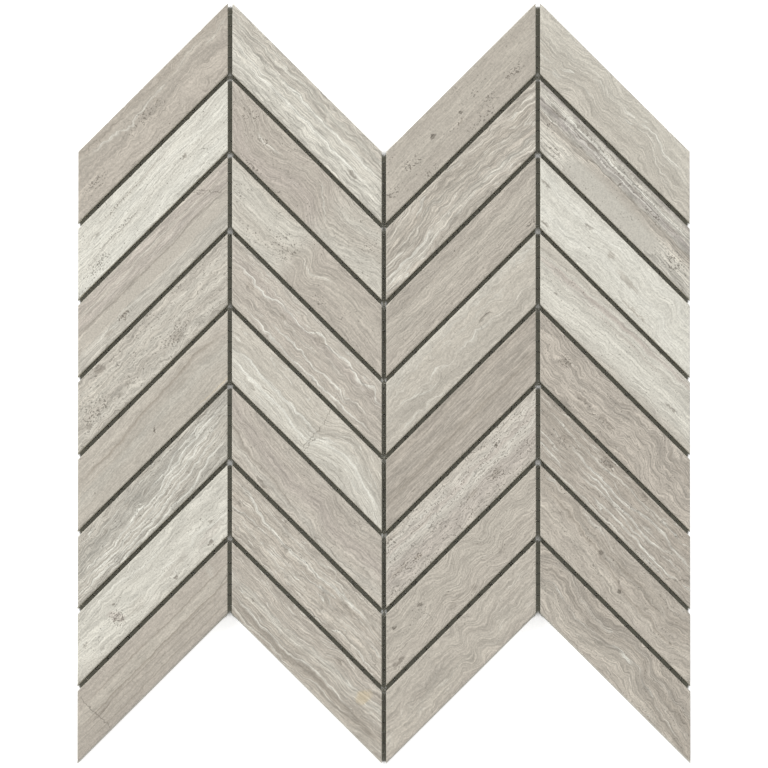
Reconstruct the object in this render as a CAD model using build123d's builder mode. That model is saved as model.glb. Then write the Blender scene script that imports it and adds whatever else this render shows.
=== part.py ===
from build123d import *
import math
import os

# Chevron mosaic sheet: mitred stone strips in upright columns on a glass-fibre mesh.
# The sheet lies face up, +Y towards its upper points, with the origin at the middle of its underside.

# Stone strip, called a chip
chip_length = 100.0  # along a long side
chip_width = 23.8  # square across the two long sides
chip_thickness = 9.5
chip_slant = 45.0  # degrees from the X axis to a long side
arris = 0.4  # eased edges round the polished face
# Lay of the chips
joint = 2.0  # square across every gap between chips
column_count = 4
row_count = 8
# Mesh: two layers of yarn laid across each other and bonded to the chips' backs
mesh_pitch = 5.0  # from one yarn to the next
yarn_width = 0.8
yarn_thickness = 0.25
mesh_setback = 2.0  # from the sheet's outline in to the mesh's cut edge

# Sizes that follow
slant = math.radians(chip_slant)
chip_run = chip_length * math.cos(slant)  # width of one column
chip_rise = chip_length * math.sin(slant)  # climb of a chip across its column
chip_mitre = chip_width / math.cos(slant)  # length of an upright mitred end
row_pitch = (chip_width + joint) / math.cos(slant)
column_pitch = chip_run + joint
column_height = (row_count - 1) * row_pitch + chip_mitre  # along one upright edge of a column
sheet_width = column_count * column_pitch - joint
sheet_height = column_height + chip_rise
chip_seat = 2 * yarn_thickness  # the chips' backs lie on top of both layers of yarn


def climb(column):
    """1 for a column whose chips climb towards +X, -1 for one whose chips fall."""
    return 1 if column % 2 == 0 else -1


def edge_x(boundary):
    """X of the sheet's side, or of the middle of the joint between two columns."""
    side = sheet_width / 2
    return max(-side, min(side, (boundary - column_count / 2) * column_pitch))


def edge_y(boundary, from_middle):
    """Y of the zigzag at a boundary, for a line that runs at from_middle from the columns' middles."""
    column = min(boundary, column_count - 1)
    middle = (column - (column_count - 1) / 2) * column_pitch
    return from_middle + climb(column) * math.tan(slant) * (edge_x(boundary) - middle)


def make_chip(column, row):
    """One chip, with its mitred ends upright and the edges of its face eased."""
    centre_x = (column - (column_count - 1) / 2) * column_pitch
    centre_y = ((row_count - 1) / 2 - row) * row_pitch
    half_run, half_mitre = chip_run / 2, chip_mitre / 2
    tip = climb(column) * chip_rise / 2
    with BuildPart() as chip:
        with BuildSketch(Plane((centre_x, centre_y, chip_seat))):
            with BuildLine():
                Polyline(
                    (-half_run, -half_mitre - tip),
                    (half_run, -half_mitre + tip),
                    (half_run, half_mitre + tip),
                    (-half_run, half_mitre - tip),
                    close=True,
                )
            make_face()
        extrude(amount=chip_thickness)
        chamfer(chip.faces().sort_by(Axis.Z)[-1].edges(), length=arris)
    return chip.part


# Outline of the mesh: the sheet's zigzag outline, drawn in by the setback
boundaries = range(column_count + 1)
with BuildSketch() as mesh_outline:
    with BuildLine():
        Polyline(
            *[(edge_x(b), edge_y(b, column_height / 2)) for b in boundaries],
            *[(edge_x(b), edge_y(b, -column_height / 2)) for b in reversed(boundaries)],
            close=True,
        )
    make_face()
    offset(amount=-mesh_setback, kind=Kind.INTERSECTION)

# Lower layer: the warp yarns, which run up the sheet
warp_count = int((sheet_width - 2 * mesh_setback - yarn_width) // mesh_pitch) + 1
with BuildPart() as warp_yarns:
    with BuildSketch():
        with GridLocations(mesh_pitch, mesh_pitch, warp_count, 1):
            Rectangle(yarn_width, sheet_height)
        add(mesh_outline.sketch, mode=Mode.INTERSECT)
    extrude(amount=yarn_thickness)

# Upper layer: the weft yarns, which cross the sheet under the chips
weft_count = int((sheet_height - 2 * mesh_setback - yarn_width) // mesh_pitch) + 1
with BuildPart() as weft_yarns:
    with BuildSketch(Plane.XY.offset(yarn_thickness)):
        with GridLocations(mesh_pitch, mesh_pitch, 1, weft_count):
            Rectangle(sheet_width, yarn_width)
        add(mesh_outline.sketch, mode=Mode.INTERSECT)
    extrude(amount=yarn_thickness)

os.makedirs("parts", exist_ok=True)
warp_yarns.part.label = "mesh_warp_yarns"
export_step(warp_yarns.part, "parts/mesh_warp_yarns.step")
weft_yarns.part.label = "mesh_weft_yarns"
export_step(weft_yarns.part, "parts/mesh_weft_yarns.step")
for column in range(column_count):
    for row in range(row_count):
        chip = make_chip(column, row)
        chip.label = f"chip_column_{column + 1}_row_{row + 1}"
        export_step(chip, f"parts/{chip.label}.step")
print(f"sheet {sheet_width:.1f} x {sheet_height:.1f} x {chip_seat + chip_thickness:.1f} mm")
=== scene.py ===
# %% [markdown]
# A chevron mosaic sheet, dressed for its portrait
#
# The sheet is a set of sawn marble strips, called chips, that lie in upright columns on a mesh of
# glass-fibre yarn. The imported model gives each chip's place and size. This lesson keeps those places
# and makes what the eye looks for: stone that was cut across its beds, edges that the saw and the road
# have nicked, and yarn that is not a ruler.

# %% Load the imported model
import math
from collections.abc import Sequence
from dataclasses import dataclass

import bmesh
import bpy
import numpy as np
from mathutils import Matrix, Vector


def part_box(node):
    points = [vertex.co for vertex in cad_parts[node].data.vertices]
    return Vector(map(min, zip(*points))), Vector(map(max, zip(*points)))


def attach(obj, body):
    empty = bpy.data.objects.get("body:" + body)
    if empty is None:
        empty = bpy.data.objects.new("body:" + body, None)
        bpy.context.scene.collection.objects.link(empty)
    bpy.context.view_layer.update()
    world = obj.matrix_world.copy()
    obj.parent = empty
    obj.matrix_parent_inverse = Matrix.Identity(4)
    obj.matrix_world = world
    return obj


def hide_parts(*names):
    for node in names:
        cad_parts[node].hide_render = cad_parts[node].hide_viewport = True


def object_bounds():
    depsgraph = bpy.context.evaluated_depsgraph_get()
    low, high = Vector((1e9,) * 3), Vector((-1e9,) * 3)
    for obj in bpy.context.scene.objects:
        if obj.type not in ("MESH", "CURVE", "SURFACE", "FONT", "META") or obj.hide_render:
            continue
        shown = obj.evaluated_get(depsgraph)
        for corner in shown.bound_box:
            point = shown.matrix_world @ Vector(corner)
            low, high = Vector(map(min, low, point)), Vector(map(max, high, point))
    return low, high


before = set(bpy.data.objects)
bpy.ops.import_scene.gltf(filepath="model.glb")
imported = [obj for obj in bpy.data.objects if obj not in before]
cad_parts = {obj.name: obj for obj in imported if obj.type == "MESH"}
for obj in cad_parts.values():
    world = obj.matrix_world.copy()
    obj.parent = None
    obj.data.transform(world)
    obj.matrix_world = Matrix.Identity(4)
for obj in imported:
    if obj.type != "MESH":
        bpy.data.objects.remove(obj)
cad_box = [list(corner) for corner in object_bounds()]
MM = 0.001  # the model is in metres, and a tile maker thinks in millimetres
sheet_low, sheet_high = (Vector(corner) for corner in cad_box)
print("sheet in mm:", [round(v / MM, 1) for v in sheet_high - sheet_low])

# %% [markdown]
# Two helpers carry the whole lesson. Colours are written as sRGB hex values, as a paint card or a
# picture editor gives them, and Blender's shaders want linear light, so one function converts them.
# Node trees are built by one other function: it adds a node, sets its properties and fills its inputs,
# either with values or with links.

# %% Colour and node helpers
def linear(hex_colour):
    """Linear RGBA of an sRGB colour written as #rrggbb."""
    parts = [int(hex_colour[i:i + 2], 16) / 255 for i in (1, 3, 5)]
    return tuple(p / 12.92 if p <= 0.04045 else ((p + 0.055) / 1.055) ** 2.4 for p in parts) + (1.0,)


def open_socket(sockets, key):
    """The socket with that number, or the first one in use with that name."""
    return sockets[key] if isinstance(key, int) else next(s for s in sockets if s.name == key and s.enabled)


def add(tree, kind, inputs=(), **settings):
    """Adds a shader node. An input takes a value, a socket, or a node, which passes on its first output."""
    node = tree.nodes.new("ShaderNode" + kind)
    for name, value in settings.items():
        setattr(node, name, value)
    for key, value in dict(inputs).items():
        if isinstance(value, bpy.types.Node):
            value = next(s for s in value.outputs if s.enabled)
        if isinstance(value, bpy.types.NodeSocket):
            tree.links.new(value, open_socket(node.inputs, key))
        else:
            open_socket(node.inputs, key).default_value = value
    return node


def new_tree(owner):
    """The empty node tree of a material or a world."""
    owner.use_nodes = True
    owner.node_tree.nodes.clear()
    return owner.node_tree


print("mid grey #bcbcbc is", round(linear("#bcbcbc")[0], 3), "in linear light")

# %% [markdown]
# The camera stands over the sheet, as over a copy stand. It leans a few degrees towards the viewer,
# because the picture shows the chips' near walls down in the slanting joints. An orthographic camera
# would give the flat, parallel look, but a very long lens from far away gives the same look and still
# works when the camera is moved round the sheet. The lean makes the sheet a little shorter, so the
# difference is shared between its width and its height.

# %% Camera
PICTURE = 768  # pixels, both ways
SHEET_LEFT, SHEET_RIGHT = 78.4, 689.5  # pixels, the sheet's sides in the picture
SHEET_MIDDLE_Y = 381.9  # pixels, half way from the upper points to the lower ones
LEAN = math.radians(5)
CAMERA_DISTANCE = 10.0  # metres
SENSOR = 36.0  # millimetres

metres_per_pixel = (sheet_high.x - sheet_low.x) / (SHEET_RIGHT - SHEET_LEFT) * (1 + math.cos(LEAN)) / 2
aim = Vector((
    (PICTURE / 2 - (SHEET_LEFT + SHEET_RIGHT) / 2) * metres_per_pixel,
    (SHEET_MIDDLE_Y - PICTURE / 2) * metres_per_pixel,
    sheet_high.z,
))
camera = bpy.data.objects.new("camera", bpy.data.cameras.new("camera"))
camera.data.sensor_width = SENSOR
camera.data.lens = SENSOR * CAMERA_DISTANCE / (PICTURE * metres_per_pixel)
camera.data.clip_end = 3 * CAMERA_DISTANCE
camera.location = aim + CAMERA_DISTANCE * Vector((0, -math.sin(LEAN), math.cos(LEAN)))
camera.rotation_euler = (LEAN, 0, 0)
bpy.context.scene.collection.objects.link(camera)
bpy.context.scene.camera = camera
bpy.context.scene.view_settings.view_transform = "Standard"
print("lens", round(camera.data.lens), "mm,", round(metres_per_pixel / MM, 3), "mm to a pixel")

# %% [markdown]
# Light for flat work comes from the sides at about 45 degrees, so that nothing glares and the joints
# stay dark: light from the sides can't reach down into a slot that is 2 mm wide and 10 mm deep. The
# left softbox is the strongest, because the arrises that face left are the bright ones. A soft even sky
# fills in the rest, and gives the walls of the joints their slow fade. The lamps' power is worked out,
# so that a white card on the floor reads as 1 and every colour renders as it is written.

# %% Lamps and sky
SKY = 0.36  # share of the light that comes evenly from all round
LAMPS = {-75: 0.4, 20: 0.12, 75: 0.12}  # degrees from the +Y axis, and the lamp's share of the light
LAMP_DISTANCE = 3.0  # metres, from the sheet's middle
LAMP_SIZE = 2.0  # metres
LAMP_HEIGHT = math.radians(42)  # above the floor


def hang_lamp(bearing, share):
    """A softbox that faces the sheet from one side and that the camera doesn't see."""
    light = bpy.data.lights.new("softbox", "AREA")
    light.size = LAMP_SIZE
    # On a white card, watts times the sine of the lamp's height over (pi * distance)^2 is its brightness.
    light.energy = share * (math.pi * LAMP_DISTANCE) ** 2 / math.sin(LAMP_HEIGHT)
    lamp = bpy.data.objects.new("softbox", light)
    turn = math.radians(bearing)
    level = LAMP_DISTANCE * math.cos(LAMP_HEIGHT)
    lamp.location = (level * math.sin(turn), level * math.cos(turn), LAMP_DISTANCE * math.sin(LAMP_HEIGHT))
    lamp.rotation_euler = (-lamp.location).to_track_quat("-Z", "Y").to_euler()
    lamp.visible_camera = False
    bpy.context.scene.collection.objects.link(lamp)
    return light.energy


def seen_directly(tree):
    """1 for what the camera sees straight, in a mirror or through glass, and 0 for light on its way."""
    path = add(tree, "LightPath")
    seen = add(tree, "Math", {0: path.outputs["Is Camera Ray"], 1: path.outputs["Is Glossy Ray"]},
               operation="ADD")
    return add(tree, "Math", {0: seen, 1: path.outputs["Is Transmission Ray"]}, operation="ADD",
               use_clamp=True)


sky = bpy.data.worlds.new("studio")
bpy.context.scene.world = sky
tree = new_tree(sky)
strength = add(tree, "MapRange", {"Value": seen_directly(tree), "To Min": SKY, "To Max": 1.0})
backdrop = add(tree, "Background", {"Color": (1, 1, 1, 1), "Strength": strength})
add(tree, "OutputWorld", {"Surface": backdrop})
print("softboxes:", [round(hang_lamp(bearing, share), 2) for bearing, share in LAMPS.items()], "W")

# %% [markdown]
# The floor is white paper. Lit paper alone would print as a very pale grey, so for the camera it gets a
# glow on top. The glow is held back wherever the paper is hemmed in, which keeps the shadow in the
# sheet's corners, partly real and partly painted. At the bottom of the joints, and right in the inner
# corners, there is hardly any light left, and the paper there gets painted shade: an even dark grey colour
# and an even dark grey glow, as the picture shows, because the little light that gets down would come out as
# noise.

# %% Floor
FLOOR_SIZE = 6.0  # metres
FLOOR_GAP = 0.00004  # metres under the yarns, so that no two faces lie in one plane
SHADOW_REACH = 0.006  # metres
SHADOW_SAMPLES = 32
# Below the first the paper is all painted shade, above the second it is all lit paper with its glow.
HEMMED_IN, OPEN = 0.37, 0.48  # how free the paper is, at the bottom of a joint and beside the sheet
# Painted shade: the even dark grey colour and glow of hemmed-in paper, in the joints and inner corners.
JOINT_PAINTED_SHADE_COLOUR, JOINT_PAINTED_SHADE_GLOW = "#5c5a50", "#4e4d45"
OPEN_PAPER = "#f0f0f0"
GLOW = 0.65

paper = bpy.data.materials.new("white_paper_with_painted_shade")
tree = new_tree(paper)
nearness = add(tree, "AmbientOcclusion", {"Distance": SHADOW_REACH}, samples=SHADOW_SAMPLES)
free_of_painted_shade = add(tree, "MapRange", {"Value": nearness.outputs["AO"], "From Min": HEMMED_IN, "From Max": OPEN})
# Painted shade: where the paper is hemmed in, its colour and its glow turn dark grey.
colour = add(tree, "Mix", {"Factor": free_of_painted_shade, "A": linear(JOINT_PAINTED_SHADE_COLOUR), "B": linear(OPEN_PAPER)},
             data_type="RGBA")
diffuse = add(tree, "BsdfDiffuse", {"Color": colour})
colour = add(tree, "Mix", {"Factor": free_of_painted_shade, "A": linear(JOINT_PAINTED_SHADE_GLOW), "B": (GLOW, GLOW, GLOW, 1)},
             data_type="RGBA")
glow = add(tree, "Emission", {"Color": colour, "Strength": seen_directly(tree)})
lit = add(tree, "AddShader", {0: diffuse, 1: glow})
add(tree, "OutputMaterial", {"Surface": lit})

half = FLOOR_SIZE / 2
floor_mesh = bpy.data.meshes.new("floor")
floor_mesh.from_pydata([(-half, -half, 0), (half, -half, 0), (half, half, 0), (-half, half, 0)], [],
                       [(0, 1, 2, 3)])
floor_mesh.materials.append(paper)
floor = bpy.data.objects.new("floor", floor_mesh)
floor.location.z = sheet_low.z - FLOOR_GAP
bpy.context.scene.collection.objects.link(floor)
print("floor at", floor.location.z / MM, "mm")

# %% [markdown]
# The stone is vein-cut marble: a grey and cream lime mud that settled in thin leaves, was crumpled
# while it was soft, and was sawn across the leaves and honed to a dull sheen when it was stone. No two
# chips show the same bed, so each chip gets a look of its own, noted one by one: which bands cross it from
# its lower long side to its upper one, how the leaves rise and dip along it, how crumpled they are, and
# which marks lie on them. Everything finer comes from noise at the grain's real size.

# %% Tones of the stone
TONES = {
    "white": "#e9e7dc",  # calcite veins
    "cream": "#dedbcf",
    "pale": "#d2cec2",
    "beige": "#c6bfb2",
    "sand": "#c8bdab",
    "rose": "#c0b6ac",
    "taupe": "#bbb3a7",
    "grey": "#b9b6ac",
    "drab": "#aea598",
    "brown": "#a0978a",
    "dusk": "#9a928f",  # violet grey clay seams
    "fleck": "#857d72",
    "pit": "#6d665c",
    "ochre": "#cfc0a3",  # iron stain
}
CHIP_REACH = 62.0  # mm, from a chip's middle to its far tips
CHIP_HALF = 12.0  # mm, from its middle line to its long sides


@dataclass
class ChipLook:
    """What one chip shows. Lengths are in mm from its middle, along it and across it."""
    bands: Sequence  # (across, tone), from the lower long side to the upper
    right: Sequence = ()  # the same for the right end, where the stone changes along the chip
    change: float = 0.0  # where along the chip it changes
    depth: float = 0.5  # contrast of the bands, 0 to 1
    course: Sequence = ()  # (along, rise) of the leaves
    wave: float = 1.0  # height of the slow folds
    ripple: float = 1.0  # height of the short crumples
    scallop: float = 1.0  # height of the cusps
    leaf: float = 2.0  # thickness of the leaves
    tone: float = 0.3  # difference from leaf to leaf, 0 to 1
    veins: float = 0.3  # white upper edges, 0 to 1
    lines: float = 0.4  # dark lower edges, 0 to 1
    fibre: float = 0.4  # contrast of the short streaks, 0 to 1
    specks: float = 0.1  # dark grains all over, 0 to 1
    clouds: Sequence = ()  # (along, across, half length, half width, density) of grains
    threads: Sequence = ()  # (points, width, tone, strength), fading downwards
    patches: Sequence = ()  # (along, across, half length, half width, turn, tone, strength)
    cracks: Sequence = ()  # (along, across) of one end and of the other
    calm: Sequence = ()  # (along, across, half length, half width) of an area with no leaves


LOOKS = {}
print(len(TONES), "tones of stone")

# %% Looks of the chips in the first column
LOOKS[1, 1] = ChipLook(
    bands=[(-12, "taupe"), (-4, "taupe"), (3, "taupe"), (7, "beige"), (9, "drab"), (12, "taupe")],
    wave=2, ripple=1.6, scallop=1.4, leaf=1.7, tone=0.2, veins=0.12, fibre=0.3,
    clouds=[(-4, 1, 17, 4, 0.75), (-42, -5, 10, 5, 0.7), (-30, 8.5, 9, 2.5, 0.6), (2, -9, 8, 1.5, 0.6)],
    threads=[([(-35, 6), (-22, 6.5), (-16, 4.5), (-12.5, 2.6), (-9, 4), (-3, 5), (6, 5.5), (16, 5)], 1.1,
               "white", 0.5),
             ([(24, 4), (31, 7.5), (38, 4.5)], 1, "pale", 0.4),
             ([(40, 3.5), (47, 6), (56, 7)], 0.8, "cream", 0.5),
             ([(-24, 10.5), (-16, 9), (-10, 7.5)], 0.8, "fleck", 0.5)],
    patches=[(-27, 9.5, 7, 1.2, -5, "drab", 0.35), (5, 3, 1.4, 2, 0, "drab", 0.6)],
)
LOOKS[1, 2] = ChipLook(
    bands=[(-12, "cream"), (-8, "white"), (-4, "cream"), (-2, "pale"), (0, "cream"), (2.5, "white"),
           (5, "cream"), (7, "pale"), (9, "cream"), (12, "pale")],
    course=[(-60, -2.5), (0, 0), (60, 2)], ripple=0.6, scallop=0.5, tone=0.15, veins=0.1,
    fibre=0.35, specks=0.5,
    clouds=[(-44, -7, 12, 5, 0.8), (-15, 6.5, 18, 1.2, 0.8), (-24, -2, 15, 1, 0.9)],
    threads=[([(-40, -3.4), (-30, -2), (-24, -2.6), (-10, -1.6)], 0.7, "fleck", 0.45),
             ([(-30, 4.6), (-16, 6.4), (4, 7.4), (20, 8.6)], 0.8, "brown", 0.4),
             ([(8, -7.4), (24, -6), (44, -4)], 1.4, "white", 0.6)],
    patches=[(21, 0.6, 2.4, 0.7, 10, "fleck", 0.7)],
)
LOOKS[1, 3] = ChipLook(
    bands=[(-12, "pale"), (-6, "pale"), (-4, "beige"), (0.8, "beige"), (1.4, "taupe"), (4, "rose"),
           (7, "taupe"), (9, "rose"), (12, "taupe")],
    depth=0.75, wave=0.6, ripple=0.5, scallop=0.4, leaf=1.6, tone=0.35, veins=0.1, lines=0.5, fibre=0.35,
    calm=(0, -2, 65, 2.8), clouds=[(-26, -7, 7, 2.2, 0.9)],
    threads=[([(-55, 1.2), (-40, 1.8), (-20, 1), (0, 1.4), (20, 1.2), (30, 2), (45, 0.5)], 1, "fleck", 0.5),
             ([(-50, 7), (-20, 6.6), (10, 7.4), (45, 7)], 0.7, "cream", 0.4),
             ([(-45, 4.2), (0, 4.6), (45, 4)], 0.6, "pale", 0.4),
             ([(-48, -8), (-38, -6), (-33, -7), (-26, -4.5), (-18, -6), (-8, -6.5)], 1.2, "cream", 0.5)],
    patches=[(-26, -6.6, 3.4, 1.3, 0, "brown", 0.6), (-37, -7.6, 3, 0.8, 0, "brown", 0.5)],
    cracks=[((40, 11.8), (48, 1)), ((38.5, 11.5), (41, 7))],
)
LOOKS[1, 4] = ChipLook(
    bands=[(-12, "beige"), (-8, "pale"), (-4, "taupe"), (0, "pale"), (3, "beige"), (6, "pale"),
           (9, "taupe"), (12, "beige")],
    depth=0.4, wave=1.5, ripple=1.2, scallop=1.2, leaf=2.2, tone=0.2, veins=0.1, fibre=0.5, specks=0.65,
    clouds=[(-40, -3, 14, 7, 0.8), (10, -5, 14, 6, 0.7), (0, 8, 35, 3, 0.5)],
    patches=[(-26.5, 9.3, 3.4, 2.3, -15, "fleck", 0.7), (11, -6.5, 3.6, 2.4, 0, "fleck", 0.5),
             (15, -1.4, 2.4, 1.3, 0, "fleck", 0.4), (-49, -6.5, 2, 1.2, 0, "fleck", 0.6),
             (-42.5, 0, 1.6, 1.4, 0, "fleck", 0.5), (-22, -5.2, 2, 1.2, 0, "fleck", 0.5),
             (-28.5, -6.5, 1.8, 1, 0, "fleck", 0.5)],
)
LOOKS[1, 5] = ChipLook(
    bands=[(-12, "beige"), (-6, "beige"), (-1, "pale"), (2, "beige"), (4, "taupe"), (6, "drab"),
           (7.5, "taupe"), (9, "beige"), (12, "taupe")],
    course=[(-60, -2.5), (-36, -1.6), (-16, -1.2), (0, 0.8), (16, 1.2), (34, 2.2), (51, 0.5), (60, 0)],
    wave=0.5, ripple=0.6, scallop=0.6, leaf=2.4, tone=0.25, veins=0.05, fibre=0.2, specks=0.06,
    threads=[([(-47, 3), (-36, 4), (-16, 4.3), (0, 6.3), (16, 6.7), (30, 7.4), (38, 7.9), (51, 6)], 1.5,
               "brown", 0.75),
             ([(-47, 1.4), (-20, 0.3), (0, 1.5)], 0.9, "brown", 0.4),
             ([(20, -9.8), (45, -11)], 0.6, "ochre", 0.6)],
    patches=[(-2.5, -4, 1.3, 0.7, 50, "pit", 0.9), (-44, -4.8, 0.8, 0.5, 0, "fleck", 0.7)],
)
LOOKS[1, 6] = ChipLook(
    bands=[(-12, "grey"), (-4, "beige"), (4, "grey"), (12, "beige")],
    course=[(-60, -3.5), (-25, -2), (0, 0), (60, 4)], wave=0.4, scallop=0.6, leaf=2.9, tone=0.2,
    veins=0.45, lines=0.5, fibre=0.5, specks=0.6,
    threads=[([(-51, 1.4), (-38.5, -2.6), (-29, -2.9), (-24, -1.3), (-16, -0.6), (-12, 0.7), (0, 0),
               (11, 2.7), (23, 4.4), (32, 6), (41, 6.7), (55, 8.7)], 1.3, "white", 0.8),
             ([(-56, -2.6), (-42.5, -5.3), (-29, -6), (-22.5, -4.6), (-13, -4.6), (-2.5, -3.3), (5.5, -1),
               (16, 0), (27, 1.1), (37.5, 3.4), (50, 4)], 1.3, "white", 0.8),
             ([(-60, -6.6), (-48, -8), (-34.5, -8.6), (-16, -8), (-5, -6.6), (5.5, -5.3), (13.5, -4),
               (24, -3.3), (35, -1.3), (48, 0)], 1.3, "white", 0.8),
             ([(-42, -10), (-29, -10.6), (-13, -10), (0, -9.3), (16, -9.3), (27, -6.6), (37.5, -4.6),
               (46, -4)], 1.2, "white", 0.75),
             ([(-40, 6.7), (-25, 6.7), (-13, 7.8), (-2.5, 9.4), (5.5, 8.7), (16, 10), (30, 11.4)], 0.9,
               "cream", 0.6),
             ([(2, 4), (16, 5.4), (24, 7.4), (35, 8), (47, 10)], 1, "white", 0.65),
             ([(-50, -0.6), (-36, -4.4), (-26, -4.4), (-14, -2.6), (0, -1.6), (14, 1.2), (28, 2.8), (42, 5)],
               0.8, "white", 0.6),
             ([(-56, -4.8), (-44, -6.8), (-30, -7.4), (-16, -6.4), (-4, -5), (8, -3), (20, -1.6), (34, 0.8),
               (48, 2.2)], 0.8, "white", 0.6)],
)
LOOKS[1, 7] = ChipLook(
    bands=[(-12, "beige"), (-8, "pale"), (-4, "cream"), (0, "cream"), (4, "pale"), (7, "cream"),
           (12, "pale")],
    depth=0.4, wave=2, ripple=1.2, scallop=0.9, leaf=2.6, tone=0.15, lines=0.2, fibre=0.35,
    specks=0.45,
    clouds=[(-26, -3, 6, 6, 0.9), (40, -2, 10, 3, 0.4), (15, -8, 25, 3, 0.4)],
    threads=[([(-30, 6), (-22, 8.5), (-8, 8), (4, 6), (18, 6.5)], 1.4, "white", 0.5),
             ([(4, -1), (16, -2.6), (30, -1.5), (38, -3.5), (48, -3)], 1.2, "white", 0.6)],
    patches=[(-26, -2, 5, 2.6, -60, "rose", 0.7), (7, -8.6, 1.2, 0.9, 0, "fleck", 0.8),
             (30, -8.6, 1.6, 0.8, 0, "fleck", 0.7), (-22.5, 2.8, 1.1, 0.8, 0, "fleck", 0.7),
             (-46, -1, 1.6, 1, 0, "fleck", 0.6), (37, -1.5, 1.5, 1, 0, "fleck", 0.5),
             (-25, -4.5, 1.2, 0.7, -40, "fleck", 0.6), (-27.5, -3, 0.9, 0.8, 0, "fleck", 0.6),
             (10, -4.5, 12, 2.4, 5, "beige", 0.4), (32, -5.5, 10, 2, 4, "rose", 0.35),
             (-16, -5, 8, 2.6, 0, "beige", 0.4)],
)
LOOKS[1, 8] = ChipLook(
    bands=[(-12, "taupe"), (-6, "taupe"), (-1.5, "taupe"), (0, "beige"), (3.5, "beige"), (5.5, "taupe"),
           (12, "taupe")],
    depth=0.8, wave=0.3, ripple=0.3, scallop=0.7, leaf=2.6, tone=0.15, veins=0, lines=0.45, fibre=0.18,
    specks=0.04,
    threads=[([(-40, 5.2), (-10, 5.6), (10, 5), (60, 5.4)], 0.7, "brown", 0.85),
             ([(-54, -0.6), (60, -0.4)], 0.9, "brown", 0.9),
             ([(-52, -2.2), (45, -2.2)], 0.7, "brown", 0.75),
             ([(-55, -8.2), (50, -8)], 0.6, "brown", 0.8),
             ([(-52, -4.8), (50, -4.6)], 0.5, "brown", 0.65)],
    patches=[(46, 8, 4, 2, 60, "pale", 0.4)],
    cracks=[((-39.2, 9), (-39.4, -1)), ((-39.4, -1), (-39, -11.5))],
)
print(len(LOOKS), "looks")

# %% Looks of the chips in the second column
LOOKS[2, 1] = ChipLook(
    bands=[(-12, "pale"), (-6, "cream"), (-3, "pale"), (0, "pale"), (3, "pale"), (5, "taupe"), (8, "pale"),
           (10, "taupe"), (12, "beige")],
    depth=0.6, scallop=0.8, leaf=2.1, tone=0.35, lines=0.35, fibre=0.55, specks=0.15,
    threads=[([(-20, 2.8), (0, 2.6), (20, 2.4), (48, 1)], 1.7, "white", 0.85),
             ([(-38, -4.2), (-15, -3), (0, -3.6), (20, -4), (45, -4.5)], 1.7, "white", 0.75),
             ([(-48, -0.6), (-36, -1.3), (-25, -1)], 1.4, "white", 0.7),
             ([(16, 7), (20, 7.5), (28, 9.5), (36, 8), (46, 7)], 1.1, "fleck", 0.45),
             ([(-54, 8.5), (-44, 8), (-30, 6.5), (-10, 7.5), (4, 9)], 1, "fleck", 0.4),
             ([(-50, 5), (-38, 3.5), (-24, 4.5)], 0.9, "fleck", 0.35)],
    patches=[(36, -5.5, 3.4, 0.9, 0, "fleck", 0.7)],
)
LOOKS[2, 2] = ChipLook(
    bands=[(-12, "taupe"), (-5, "rose"), (0, "taupe"), (5, "beige"), (8, "taupe"), (12, "beige")],
    right=[(-12, "pale"), (-6, "pale"), (-1, "beige"), (4, "taupe"), (8, "pale"), (12, "beige")],
    change=15, depth=0.6,
    course=[(-60, 5), (-45, 3), (-28, -3), (-12, 0), (-2, 3), (8, 0), (18, -4), (30, -3), (45, 1), (60, 3)],
    ripple=1.1, scallop=0.9, leaf=1.9, tone=0.1, veins=0.15, lines=0.35, specks=0.45,
    clouds=[(-44, 6, 6, 5, 0.8), (-32, 1, 10, 3, 0.7), (40, 2, 4, 5, 0.9), (-24, -10.5, 5, 1.4, 1),
            (30, 7, 8, 3, 0.5), (5, -2, 40, 6, 0.3)],
    threads=[([(-36, 4.5), (-28, 2), (-20, 4)], 0.9, "white", 0.45),
             ([(2, 8), (10, 2), (18, -5)], 1, "cream", 0.6)],
)
LOOKS[2, 3] = ChipLook(
    bands=[(-12, "pale"), (-4, "beige"), (2, "pale"), (8, "pale"), (12, "beige")],
    right=[(-12, "taupe"), (-6, "taupe"), (0, "beige"), (6, "taupe"), (12, "taupe")],
    change=-8, depth=0.6,
    course=[(-60, 0), (-20, 0), (-4, 4), (3, -2), (12, 1), (25, 2), (60, -1)],
    scallop=0.8, leaf=1.6, tone=0.12, veins=0.1, lines=0.25, specks=0.4,
    clouds=[(-14, 0, 10, 7, 0.7), (-12, -4, 5, 4, 0.8), (-48, 2, 10, 8, 0.5), (-30, -8, 14, 3, 0.6),
            (15, -7, 6, 4, 0.7), (28, -4, 4, 6, 0.6)],
    threads=[([(-4, 6), (2, -1), (8, 1), (14, 3)], 1.1, "cream", 0.5)],
)
LOOKS[2, 4] = ChipLook(
    bands=[(-12, "beige"), (-6, "taupe"), (0, "taupe"), (4, "rose"), (8, "beige"), (12, "pale")],
    wave=0.8, ripple=1.2, scallop=1.2, leaf=2.6, tone=0.2, veins=0.4, fibre=0.45, specks=0.12,
    threads=[([(-53, 2.4), (-40, 3.4), (-32, 2.3), (-20, 4.6), (-8, 4.2), (-2, 6), (3.5, 8.6), (8, 6.2),
               (18, 7), (30, 4.5), (37.5, 7), (42, 4.5), (52, 3)], 1.1, "white", 0.8),
             ([(-20, -5), (0, -4.2), (10, -5.5), (22, -4.4), (34, -6)], 1, "white", 0.75),
             ([(-34, -8.3), (-12, -9), (5, -9.8), (20, -9), (52, -8)], 1, "white", 0.75),
             ([(-54, 10), (-30, 9), (-8, 10)], 0.6, "rose", 0.6),
             ([(26, -3), (34, -4), (44, -3)], 0.8, "cream", 0.6)],
    patches=[(4, 5, 4, 2, 0, "fleck", 0.4), (38, 4, 3, 2, 30, "fleck", 0.4),
             (-38, 0, 3, 1.4, 0, "brown", 0.5), (-17, 1, 2.4, 1.2, 0, "brown", 0.6)],
)
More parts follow.
